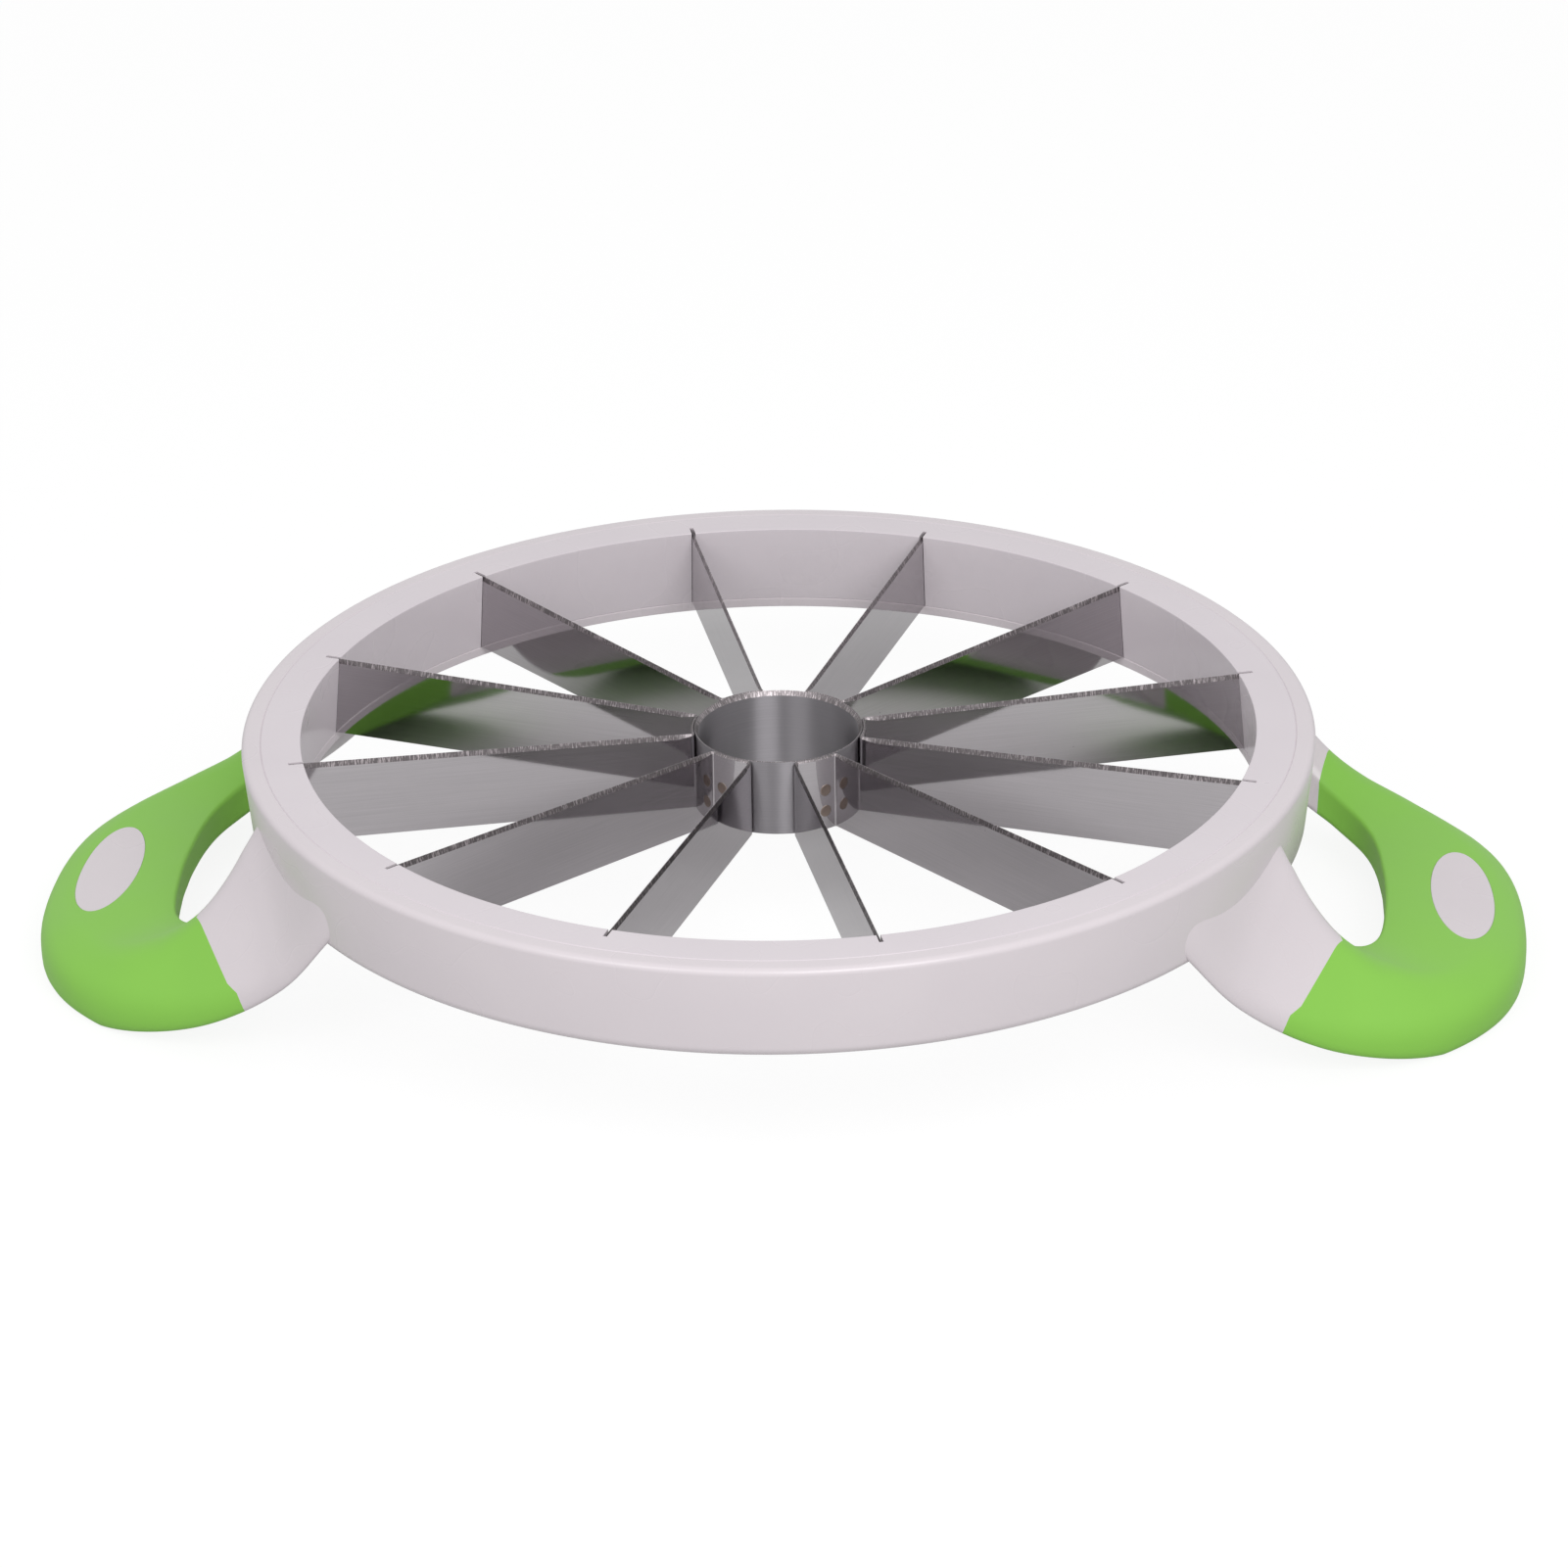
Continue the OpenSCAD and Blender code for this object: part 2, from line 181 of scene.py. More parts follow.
class SlicerSettings(PropertyGroup):
    ring: PointerProperty(type=RingSizes, name="Ring", description="Sizes of the ring")
    blades: PointerProperty(type=BladeSizes, name="Blades", description="Sizes of the blades and hub")
    handles: PointerProperty(type=HandleSizes, name="Handles", description="Sizes of the handles")
    finish: PointerProperty(type=Finishes, name="Finishes", description="Colours of the finishes")
    studio: PointerProperty(type=StudioSettings, name="Studio", description="Lights and floor")


# Materials

def add(tree, kind, settings=None, values=None, links=None):
    """Adds one node with its settings, its socket values and its incoming links."""
    node = tree.nodes.new(kind)
    for key, value in (settings or {}).items():
        setattr(node, key, value)
    for key, value in (values or {}).items():
        node.inputs[key].default_value = value
    for key, source in (links or {}).items():
        tree.links.new(source, node.inputs[key])
    return node


def new_finish(name):
    """An empty material with its Principled shader."""
    material = bpy.data.materials.new(name)
    material.use_nodes = True
    return material, material.node_tree, material.node_tree.nodes["Principled BSDF"]


def with_specks(tree, place, scale, rarity, reach, strength, ink, under):
    """Scatters specks of an ink over a colour, one in a cell, in the share of cells above rarity."""
    cells = add(tree, "ShaderNodeTexVoronoi", values={"Scale": scale}, links={"Vector": place})
    pick = add(tree, "ShaderNodeSeparateColor", links={"Color": cells.outputs["Color"]})
    radius = add(tree, "ShaderNodeMapRange", values={1: rarity, 2: 1, 3: 0, 4: reach},
                 links={0: pick.outputs["Red"]})
    speck = add(tree, "ShaderNodeMath", {"operation": "LESS_THAN"},
                links={0: cells.outputs["Distance"], 1: radius.outputs[0]})
    faint = add(tree, "ShaderNodeMath", {"operation": "MULTIPLY"}, {1: strength}, {0: speck.outputs[0]})
    return add(tree, "ShaderNodeMix", {"data_type": "RGBA"}, {7: ink}, {0: faint.outputs[0], 6: under})


def moulded_abs(name, tone):
    # Injection-moulded ABS: satin gloss, faint flow clouds, a few dark specks and duller patches.
    material, tree, shader = new_finish(name)
    place = add(tree, "ShaderNodeTexCoord").outputs["Object"]
    # Flow clouds about 25 mm across
    cloud = add(tree, "ShaderNodeTexNoise", values={"Scale": 40, "Detail": 1}, links={"Vector": place})
    deep = [c * s for c, s in zip(tone, (0.945, 0.94, 0.95))] + [1]
    base = add(tree, "ShaderNodeMix", {"data_type": "RGBA"}, {6: deep, 7: tone},
               {0: cloud.outputs["Fac"]})
    # Dark specks of up to 0.5 mm, in one of ten 14 mm cells
    full = with_specks(tree, place, 72, 0.9, 0.018, 0.5, (0.12, 0.10, 0.10, 1), base.outputs[2])
    tree.links.new(full.outputs[2], shader.inputs["Base Color"])
    # Handling wear: patches about 15 mm across that are a little duller
    wear = add(tree, "ShaderNodeTexNoise", values={"Scale": 65, "Detail": 0}, links={"Vector": place})
    rough = add(tree, "ShaderNodeMapRange", values={1: 0.3, 2: 0.75, 3: 0.26, 4: 0.32},
                links={0: wear.outputs["Fac"]})
    tree.links.new(rough.outputs[0], shader.inputs["Roughness"])
    # Orange peel about 1.5 mm across
    peel = add(tree, "ShaderNodeTexNoise", values={"Scale": 650, "Detail": 1}, links={"Vector": place})
    relief = add(tree, "ShaderNodeBump", values={"Strength": 0.02, "Distance": 0.01 * MM},
                 links={"Height": peel.outputs["Fac"]})
    tree.links.new(relief.outputs[0], shader.inputs["Normal"])
    shader.inputs["IOR"].default_value = 1.54
    return material


def soft_rubber(name, tone):
    # Overmoulded thermoplastic rubber: matte, even, with a fine grain and a faint bloom.
    material, tree, shader = new_finish(name)
    place = add(tree, "ShaderNodeTexCoord").outputs["Object"]
    # Bloom in clouds about 18 mm across
    cloud = add(tree, "ShaderNodeTexNoise", values={"Scale": 55, "Detail": 4}, links={"Vector": place})
    deep = [c * s for c, s in zip(tone, (0.93, 0.95, 0.92))] + [1]
    base = add(tree, "ShaderNodeMix", {"data_type": "RGBA"}, {6: deep, 7: tone},
               {0: cloud.outputs["Fac"]})
    tree.links.new(base.outputs[2], shader.inputs["Base Color"])
    # Moulded grain about 0.4 mm across
    grain = add(tree, "ShaderNodeTexNoise", values={"Scale": 2400, "Detail": 2},
                links={"Vector": place})
    relief = add(tree, "ShaderNodeBump", values={"Strength": 0.15, "Distance": 0.03 * MM},
                 links={"Height": grain.outputs["Fac"]})
    tree.links.new(relief.outputs[0], shader.inputs["Normal"])
    rough = add(tree, "ShaderNodeMapRange", values={3: 0.52, 4: 0.64}, links={0: cloud.outputs["Fac"]})
    tree.links.new(rough.outputs[0], shader.inputs["Roughness"])
    shader.inputs["IOR"].default_value = 1.5
    shader.inputs["Sheen Weight"].default_value = 0.05
    shader.inputs["Sheen Roughness"].default_value = 0.5
    return material


def rolled_steel(name, tone, tint, gloss, spread):
    # Cold-rolled stainless strip: a soft mirror with grain along it, and brown heat tint at the welds.
    material, tree, shader = new_finish(name)
    run = add(tree, "ShaderNodeUVMap", {"uv_map": "strip"}).outputs["UV"]
    # Rolling grain: streaks 0.3 mm high and 30 mm long, drawn a little coarser than real to show. It
    # spreads a reflection across itself, which makes the upright bands of light in the hub.
    stretch = add(tree, "ShaderNodeMapping", values={"Scale": (33, 3300, 1)}, links={"Vector": run})
    grain = add(tree, "ShaderNodeTexNoise", values={"Scale": 1, "Detail": 4, "Roughness": 0.6},
                links={"Vector": stretch.outputs[0]})
    relief = add(tree, "ShaderNodeBump", values={"Strength": 0.03, "Distance": 0.02 * MM},
                 links={"Height": grain.outputs["Fac"]})
    tree.links.new(relief.outputs[0], shader.inputs["Normal"])
    streak = add(tree, "ShaderNodeMapRange", values={1: 0.3, 2: 0.7}, links={0: grain.outputs["Fac"]})
    deep = [c * 0.88 for c in tone[:3]] + [1]
    base = add(tree, "ShaderNodeMix", {"data_type": "RGBA"}, {6: deep, 7: tone}, {0: streak.outputs[0]})
    heat = add(tree, "ShaderNodeAttribute", {"attribute_name": "heat"})
    burnt = add(tree, "ShaderNodeMix", {"data_type": "RGBA"}, {7: tint},
                {0: heat.outputs["Fac"], 6: base.outputs[2]})
    # Fine dark specks of up to 0.5 mm, in one of five 4.5 mm cells
    full = with_specks(tree, run, 220, 0.8, 0.06, 0.3, (0.02, 0.02, 0.02, 1), burnt.outputs[2])
    tree.links.new(full.outputs[2], shader.inputs["Base Color"])
    rough = add(tree, "ShaderNodeMapRange", values={3: gloss * 0.7, 4: gloss * 1.3},
                links={0: grain.outputs["Fac"]})
    tree.links.new(rough.outputs[0], shader.inputs["Roughness"])
    shader.inputs["Metallic"].default_value = 1
    shader.inputs["Anisotropic"].default_value = spread
    shader.inputs["Anisotropic Rotation"].default_value = 0.25
    return material


def ground_steel(name, tone):
    # Stainless ground on a wheel: coarse ticks straight across the edge, dark grain with bright painted
    # glints.
    material, tree, shader = new_finish(name)
    run = add(tree, "ShaderNodeUVMap", {"uv_map": "strip"}).outputs["UV"]
    # Wheel marks 0.3 mm apart along the edge, drawn coarser than real to show
    stretch = add(tree, "ShaderNodeMapping", values={"Scale": (3000, 400, 1)}, links={"Vector": run})
    marks = add(tree, "ShaderNodeTexNoise", values={"Scale": 1, "Detail": 4, "Roughness": 0.7},
                links={"Vector": stretch.outputs[0]})
    relief = add(tree, "ShaderNodeBump", values={"Strength": 0.5, "Distance": 0.08 * MM},
                 links={"Height": marks.outputs["Fac"]})
    tree.links.new(relief.outputs[0], shader.inputs["Normal"])
    # The dark ticks are the grain; the bright ticks are painted glints, a tone far lighter than the
    # steel's own
    dark = [c * 0.6 for c in tone[:3]] + [1]
    light = [min(1, c * 2.4) for c in tone[:3]] + [1]
    grain_and_glint = add(tree, "ShaderNodeMapRange", values={1: 0.5, 2: 0.66},
                   links={0: marks.outputs["Fac"]})
    base = add(tree, "ShaderNodeMix", {"data_type": "RGBA"}, {6: dark, 7: light},
               {0: grain_and_glint.outputs[0]})
    tree.links.new(base.outputs[2], shader.inputs["Base Color"])
    shader.inputs["Metallic"].default_value = 1
    shader.inputs["Roughness"].default_value = 0.34
    return material


def weld_steel(name, tone, tint):
    # Resistance-welded stainless: a pressed disc with a dark brown rim, partly oxide and partly painted
    # shade round its edge.
    material, tree, shader = new_finish(name)
    place = add(tree, "ShaderNodeTexCoord").outputs["Object"]
    # Mottle of the melted skin, about 1 mm across
    mottle = add(tree, "ShaderNodeTexNoise", values={"Scale": 900, "Detail": 3},
                 links={"Vector": place})
    rim = add(tree, "ShaderNodeAttribute", {"attribute_name": "heat"})
    # The dark rim mixed in here is partly real oxide and partly painted shade along the disc's edge
    base = add(tree, "ShaderNodeMix", {"data_type": "RGBA"}, {6: tone, 7: tint},
               {0: rim.outputs["Fac"]})
    tree.links.new(base.outputs[2], shader.inputs["Base Color"])
    rough = add(tree, "ShaderNodeMapRange", values={3: 0.25, 4: 0.5}, links={0: mottle.outputs["Fac"]})
    tree.links.new(rough.outputs[0], shader.inputs["Roughness"])
    relief = add(tree, "ShaderNodeBump", values={"Strength": 0.3, "Distance": 0.05 * MM},
                 links={"Height": mottle.outputs["Fac"]})
    tree.links.new(relief.outputs[0], shader.inputs["Normal"])
    shader.inputs["Metallic"].default_value = 1
    return material


# Mesh tools

def make_piece(name, points, faces, materials, crease=MOULDED_CREASE, face_slots=None):
    """A smooth mesh object from points and faces, hard where faces meet at more than crease degrees."""
    mesh = bpy.data.meshes.new(name)
    mesh.from_pydata([tuple(p) for p in points], [], faces)
    for material in materials:
        mesh.materials.append(material)
    if face_slots:
        mesh.polygons.foreach_set("material_index", face_slots)
    shape = bmesh.new()
    shape.from_mesh(mesh)
    bmesh.ops.recalc_face_normals(shape, faces=shape.faces)
    shape.to_mesh(mesh)
    shape.free()
    piece = bpy.data.objects.new(name, mesh)
    bpy.context.scene.collection.objects.link(piece)
    finish_shading(piece, crease)
    return piece


def finish_shading(piece, crease):
    """Smooth shading with hard edges where faces meet at more than crease degrees."""
    piece.data.polygons.foreach_set("use_smooth", [True] * len(piece.data.polygons))
    piece.data.set_sharp_from_angle(angle=math.radians(crease))


def place(piece, slot, *nodes):
    """Joins a piece to the part: it rides on the body and stands for its nodes. Its slot argument is
    not used.
    """
    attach(piece, "root")
    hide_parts(*nodes)


def cut(piece, tool, operation):
    """Cuts or crops a piece with another mesh, which is then removed."""
    change = piece.modifiers.new("cut", "BOOLEAN")
    change.operation = operation
    change.solver = "EXACT"
    change.object = tool
    bpy.context.view_layer.update()
    done = bpy.data.meshes.new_from_object(piece.evaluated_get(bpy.context.evaluated_depsgraph_get()))
    piece.modifiers.clear()
    old = piece.data
    piece.data = done
    done.name = piece.name
    bpy.data.meshes.remove(old)
    bpy.data.objects.remove(tool)


def closed_rows(count, size, base=0):
    """Quads that join count rings of size points in a row, without caps."""
    return [(base + i * size + j, base + i * size + (j + 1) % size,
             base + (i + 1) * size + (j + 1) % size, base + (i + 1) * size + j)
            for i in range(count - 1) for j in range(size)]


def end_caps(count, size, base=0):
    """The two faces that close such a row of rings."""
    last = base + (count - 1) * size
    return [tuple(range(base, base + size))[::-1], tuple(range(last, last + size))]


def revolve(profile, steps):
    """Points and quads of a closed profile of (radius, height) turned all the way round Z."""
    points = [(r * math.cos(a), r * math.sin(a), z)
              for a in (math.tau * i / steps for i in range(steps)) for r, z in profile]
    size = len(profile)
    faces = [(i * size + j, (i + 1) % steps * size + j, (i + 1) % steps * size + (j + 1) % size,
              i * size + (j + 1) % size) for i in range(steps) for j in range(size)]
    return points, faces


def arc(centre, radius, start, end, steps):
    """Points of a flat arc between two angles in degrees."""
    return [(centre[0] + radius * math.cos(a), centre[1] + radius * math.sin(a))
            for a in (math.radians(start + (end - start) * i / steps) for i in range(steps + 1))]


def between(a, b, steps):
    """Evenly spaced points from a to b, without a and b themselves."""
    return [tuple(p + (q - p) * i / steps for p, q in zip(a, b)) for i in range(1, steps)]


# Handle

# Places along half a handle, from its root to the middle of its bar, as shares of its named sizes
OUTER_ANGLE_SHARES = (1, 0.832, 0.652, 0.461, 0.256, 0)
OUTER_REACH_SHARES = (0, 0.102, 0.405, 0.763, 0.963, 1)
OUTER_FOOT_SHARES = (1.03, 0.575, 0.195, 0, 0, 0)
OUTER_SIDE_SHARES = (1.25, 0.6, 0.62, 0.84, 0.88, 0.9)
INNER_ANGLE_SHARES = (1, 1.06, 0.87, 0.61, 0.185, 0)
INNER_REACH_SHARES = (0, 0.2, 0.73, 1.01, 1.03, 1.03)
INNER_MID_SHARES = (1.08, 0.72, 0.5, 0.41, 0.4, 0.4)
INNER_HALF_SHARES = (0.6, 1.05, 1, 0.97, 0.96, 1)
INNER_LEAN_SHARES = (0.6, 0.6, 0.4, 0.15, 0, 0)
RIDGE_PLACE_SHARES = (0.08, 0.12, 0.45, 0.72, 0.8, 0.8)
RIDGE_HEIGHT_SHARES = (1.45, 1.3, 0.82, 0.5, 0.42, 0.39)
DROP_SHARE = 1.03
ROOT_SINK_SHARE = 0.4
LOW_ROUND_SHARE = 0.48
SIDE_ROUND_SHARE = 0.45
RIDGE_ROUND_SHARE = 0.34
MIDDLE = 5
CORNERS = 5

# Station at which a section crosses each of its corners: the opening's low edge, the outside's low
# and top edges, the ridge and the opening's top edge. The grip's ends slant across the arm.
ROOT = (0, 0, 0, 0, 0)
GRIP_END = (1.6, 1.42, 1.5, 1.95, 1.65)
BAR = (5, 5, 5, 5, 5)
# How far a corner's round bends towards the stations of the corners before and after it
FOLLOW_BACK_SHARES = (0.1, 0.2, 0.45, 0.2, 0.1)
FOLLOW_ON_SHARES = (0.05, 0.45, 0.2, 0.3, 0.1)
CORNER_STEPS = 8
FACE_STEPS = (8, 4, 10, 14, 4)


def smooth(values, v, sign=1):
    """Value at v on a smooth curve through values, mirrored past their end."""
    last = len(values) - 1

    def value(i):
        if i < 0:
            return 2 * values[0] - values[1]
        if i <= last:
            return values[i]
        if i <= 2 * last:
            return sign * values[2 * last - i]
        return sign * (2 * values[0] - values[1])

    i = min(math.floor(v), 2 * last - 1)
    u = v - i
    a, b, c, d = (value(i + k) for k in (-1, 0, 1, 2))
    return (2 * b + (c - a) * u + (2 * a - 5 * b + 4 * c - d) * u ** 2
            + (3 * b - a - 3 * c + d) * u ** 3) / 2


def drawn_in(corners, j, inset):
    """A corner moved in by inset from both faces beside it."""
    p = corners[j]
    a = (p - corners[j - 1]).normalized().orthogonal()
    b = (corners[(j + 1) % CORNERS] - p).normalized().orthogonal()
    return p + (a + b) * inset / (1 + a.dot(b))


class Handle:
    """Outline of the right handle, from the sizes of the ring and of the handle."""

    def __init__(self, ring, sizes):
        self.s = s = sizes
        self.drop = s.handle_drop * DROP_SHARE
        self.ring_r = ring.ring_d / 2
        self.root_r = self.ring_r - ring.wall_t * ROOT_SINK_SHARE
        self.outer_angle = math.asin(s.handle_w / 2 / self.root_r)
        self.inner_angle = math.asin(s.eye_w / 2 / self.root_r)
        # The grip's lowest point, found once and then set on the floor
        self.rest = 0
        self.rest = min(p[2] for row in self.grip(REST_STEPS, 0) for p in row)
        tip_x = self.ring_r + s.handle_reach
        self.oval_x = tip_x - s.oval_inset
        start_x = self.ring_r + s.eye_depth * INNER_REACH_SHARES[MIDDLE]
        start_z = INNER_MID_SHARES[MIDDLE] * self.drop + s.bar_edge_t / 2
        run = (tip_x - start_x) * RIDGE_PLACE_SHARES[MIDDLE]
        fall = start_z - RIDGE_HEIGHT_SHARES[MIDDLE] * self.drop
        self.face_tilt = math.atan2(fall, run)
        self.oval_z = start_z - (self.oval_x - start_x) * fall / run - self.rest
        self.oval_depth = s.grip_t + s.bar_edge_t / 6

    def spot(self, angle, angles, reach, reaches, v):
        """Place of an outline at station v, seen from above."""
        base = self.root_r - self.ring_r
        out = max(base, reach * smooth(reaches, v) + base * max(0, 1 - min(v, 2 * MIDDLE - v)))
        turn = angle * smooth(angles, v, -1)
        return Vector(((self.ring_r + out) * math.cos(turn), (self.ring_r + out) * math.sin(turn)))

    @lru_cache(maxsize=None)
    def section(self, v, inset):
        """The rounded corners of the section at station v, each as a list of points in space."""
        s = self.s
        outer = self.spot(self.outer_angle, OUTER_ANGLE_SHARES, s.handle_reach, OUTER_REACH_SHARES, v)
        inner = self.spot(self.inner_angle, INNER_ANGLE_SHARES, s.eye_depth, INNER_REACH_SHARES, v)
        width = (outer - inner).length
        along = (outer - inner) / width
        foot = self.drop * max(0, smooth(OUTER_FOOT_SHARES, v))
        side = s.bar_t * smooth(OUTER_SIDE_SHARES, v)
        mid = self.drop * smooth(INNER_MID_SHARES, v)
        half = s.bar_edge_t / 2 * smooth(INNER_HALF_SHARES, v)
        tilt = s.bar_edge_t / 4 * smooth(INNER_LEAN_SHARES, v)
        full = [Vector(p) for p in (
            (-tilt, mid - half), (width, foot), (width, foot + side),
            (width * smooth(RIDGE_PLACE_SHARES, v), self.drop * smooth(RIDGE_HEIGHT_SHARES, v)),
            (tilt, mid + half))]
        corners = [drawn_in(full, j, inset) for j in range(CORNERS)]
        faces = [(corners[(j + 1) % CORNERS] - corners[j]).length for j in range(CORNERS)]
        k = max(s.bar_edge_t / 6 - inset, s.bar_edge_t / 24)
        reaches = (k, LOW_ROUND_SHARE * min(faces[0], faces[1]),
                   SIDE_ROUND_SHARE * min(faces[1], faces[2]),
                   RIDGE_ROUND_SHARE * min(faces[2], faces[3]), k)
        bends = []
        for j, reach in enumerate(reaches):
            a = (corners[j - 1] - corners[j]).normalized() * reach
            b = (corners[(j + 1) % CORNERS] - corners[j]).normalized() * reach
            flat = [corners[j] + a * (1 - i / CORNER_STEPS) ** 2 + b * (i / CORNER_STEPS) ** 2
                    for i in range(CORNER_STEPS + 1)]
            bends.append([Vector((inner.x + along.x * n, inner.y + along.y * n, z)) for n, z in flat])
        return bends

    def ring(self, stations, inset):
        """One closed ring of points whose corners each have a station of their own."""
        points = []
        for j, (here, back, on) in enumerate(zip(stations, FOLLOW_BACK_SHARES, FOLLOW_ON_SHARES)):
            last, after = stations[j - 1], stations[(j + 1) % CORNERS]
            for i in range(CORNER_STEPS + 1):
                t = 2 * i / CORNER_STEPS - 1
                v = here + ((last - here) * -t * back if t < 0 else (after - here) * t * on)
                points.append(self.section(v, inset)[j][i])
            arrive = after + (here - after) * FOLLOW_BACK_SHARES[(j + 1) % CORNERS]
            for i in range(1, FACE_STEPS[j]):
                share = i / FACE_STEPS[j]
                bends = self.section(v + (arrive - v) * share, inset)
                points.append(bends[j][-1].lerp(bends[(j + 1) % CORNERS][0], share))
        return [(p.x, p.y, p.z - self.rest) for p in points]

    def rings(self, first, last, steps, inset):
        """Evenly spaced rings from one set of stations to another."""
        return [self.ring([a + (b - a) * i / steps for a, b in zip(first, last)], inset)
                for i in range(steps + 1)]

    def grip(self, steps, inset):
        """Rings of the grip, from its back end to its front end."""
        half = self.rings(GRIP_END, BAR, steps, inset)
        return half + flipped(half[-2::-1], 1)

    def core(self, steps):
        """Rings of the white roots and of the slimmer bar that the grip covers."""
        root = self.rings(ROOT, GRIP_END, steps // 2, 0)
        return root + self.grip(steps, self.s.grip_t) + flipped(root[::-1], 1)

    def oval(self, gap):
        """Oval prism through the bar's upper face, smaller by a gap all round."""
        wide, long = self.s.oval_w / 2 - gap, self.s.oval_l / 2 - gap
        centre = Matrix.Translation((self.oval_x, 0, self.oval_z))
        turn = centre @ Matrix.Rotation(self.face_tilt, 4, "Y")
        points = [turn @ Vector((wide * math.cos(a), long * math.sin(a), z))
                  for z in (-self.oval_depth, self.s.bar_t)
                  for a in (math.tau * i / OVAL_STEPS for i in range(OVAL_STEPS))]
        return make_piece("oval", points, closed_rows(2, OVAL_STEPS) + end_caps(2, OVAL_STEPS), [])


def flipped(rings, axis):
    """The same rings on the other side of the X or Y axis's middle plane."""
    return [[tuple(-c if i == axis else c for i, c in enumerate(p)) for p in ring] for ring in rings]


def loft(name, rings, materials):
    """Closed solid through a list of rings of points."""
    size, count = len(rings[0]), len(rings)
    faces = closed_rows(count, size) + end_caps(count, size)
    return make_piece(name, [p for ring in rings for p in ring], faces, materials, HANDLE_CREASE)


def mirrored_x(piece):
    """Turns a right-hand mesh into a left-hand one."""
    piece.data.transform(Matrix.Scale(-1, 4, (1, 0, 0)))
    piece.data.flip_normals()


# Pieces

class SLICER_OT_frame(Operator):
    """Builds the outer ring with its seam, and the cores of both handles"""
    bl_idname = "slicer.frame"
    bl_label = "Outer frame"

    def execute(self, context):
        s, finish = context.scene.slicer.ring, context.scene.slicer.finish
        plastic = moulded_abs("ABS, satin off-white", list(finish.frame_white))
        top, low = RING_TOP, RING_TOP - s.ring_h
        ring_r, seam_r = s.ring_d / 2, s.ring_d / 2 - s.wall_t
        foot_r, lip_r = ring_r - s.outer_draft, ring_r - s.ring_w + s.inner_draft
        shelf, g = low + s.flange_t, s.seam_groove
        profile = ([(seam_r, shelf), (seam_r, top - g), (seam_r + g, top)]
                   + arc((ring_r - s.top_fillet, top - s.top_fillet), s.top_fillet, 90, 0,
                         FILLET_STEPS)
                   + arc((foot_r - s.foot_fillet, low + s.foot_fillet), s.foot_fillet, 0, -90,
                         FILLET_STEPS)
                   + [(lip_r + g, low), (lip_r, low + g), (lip_r, shelf - g), (lip_r + g, shelf)])
        points, faces = revolve(profile, RING_STEPS)
        ring = make_piece("outer_ring", points, faces, [plastic])
        place(ring, "frame_plastic", "outer_frame")
        sizes = context.scene.slicer.handles
        handle = Handle(s, sizes)
        for side in ("right", "left"):
            core = loft(f"{side}_handle_core", handle.core(CORE_STEPS), [plastic])
            pad = loft("pad", handle.grip(CORE_STEPS, 0), [plastic])
            cut(pad, handle.oval(sizes.oval_gap), "INTERSECT")
            cut(core, pad, "UNION")
            if side == "left":
                mirrored_x(core)
            finish_shading(core, HANDLE_CREASE)
            place(core, "frame_plastic", "outer_frame")
        return {"FINISHED"}


class SLICER_OT_blade_ring(Operator):
    """Builds the inner ring with a slot for each blade"""
    bl_idname = "slicer.blade_ring"
    bl_label = "Blade ring"

    def execute(self, context):
        s, b, finish = (getattr(context.scene.slicer, n) for n in ("ring", "blades", "finish"))
        plastic = moulded_abs("ABS, gloss off-white", list(finish.ring_white))
        top = RING_TOP
        shelf = top - s.ring_h + s.flange_t
        ring_r = s.ring_d / 2
        bore_r, seam_r = ring_r - s.ring_w, ring_r - s.wall_t
        lip_r = bore_r + s.inner_draft
        g, edge = s.seam_groove, BORE_EDGE_R
        profile = ([(lip_r + g, shelf), (lip_r, shelf + g)]
                   + arc((bore_r + edge, top - edge), edge, 180, 90, BORE_EDGE_STEPS)
                   + [(seam_r - g, top), (seam_r, top - g), (seam_r, shelf)])
        points, faces = revolve(profile, RING_STEPS)
        ring = make_piece("blade_ring_shell", points, faces, [plastic])
        half = b.blade_t / 2 + b.slot_gap
        near, far = bore_r - TOOL_SPARE, bore_r + b.blade_seat + b.slot_gap
        points, faces = [], []
        for i in range(2 * STRIP_COUNT):
            turn = Matrix.Rotation((2 * i + 1) * BLADE_TURN, 3, "Z")
            start = len(points)
            points += [turn @ Vector((x, y, z)) for z in (shelf - TOOL_SPARE, top + TOOL_SPARE)
                       for x, y in ((near, -half), (far, -half), (far, half), (near, half))]
            faces += closed_rows(2, 4, start) + end_caps(2, 4, start)
        cut(ring, make_piece("slots", points, faces, []), "DIFFERENCE")
        finish_shading(ring, MOULDED_CREASE)
        place(ring, "ring_plastic", "blade_ring")
        return {"FINISHED"}


# Roughness of the steel, and how far its grain spreads a reflection
HUB_GLOSS, HUB_SPREAD = 0.45, 1
STRIP_GLOSS, STRIP_SPREAD = 0.06, 0


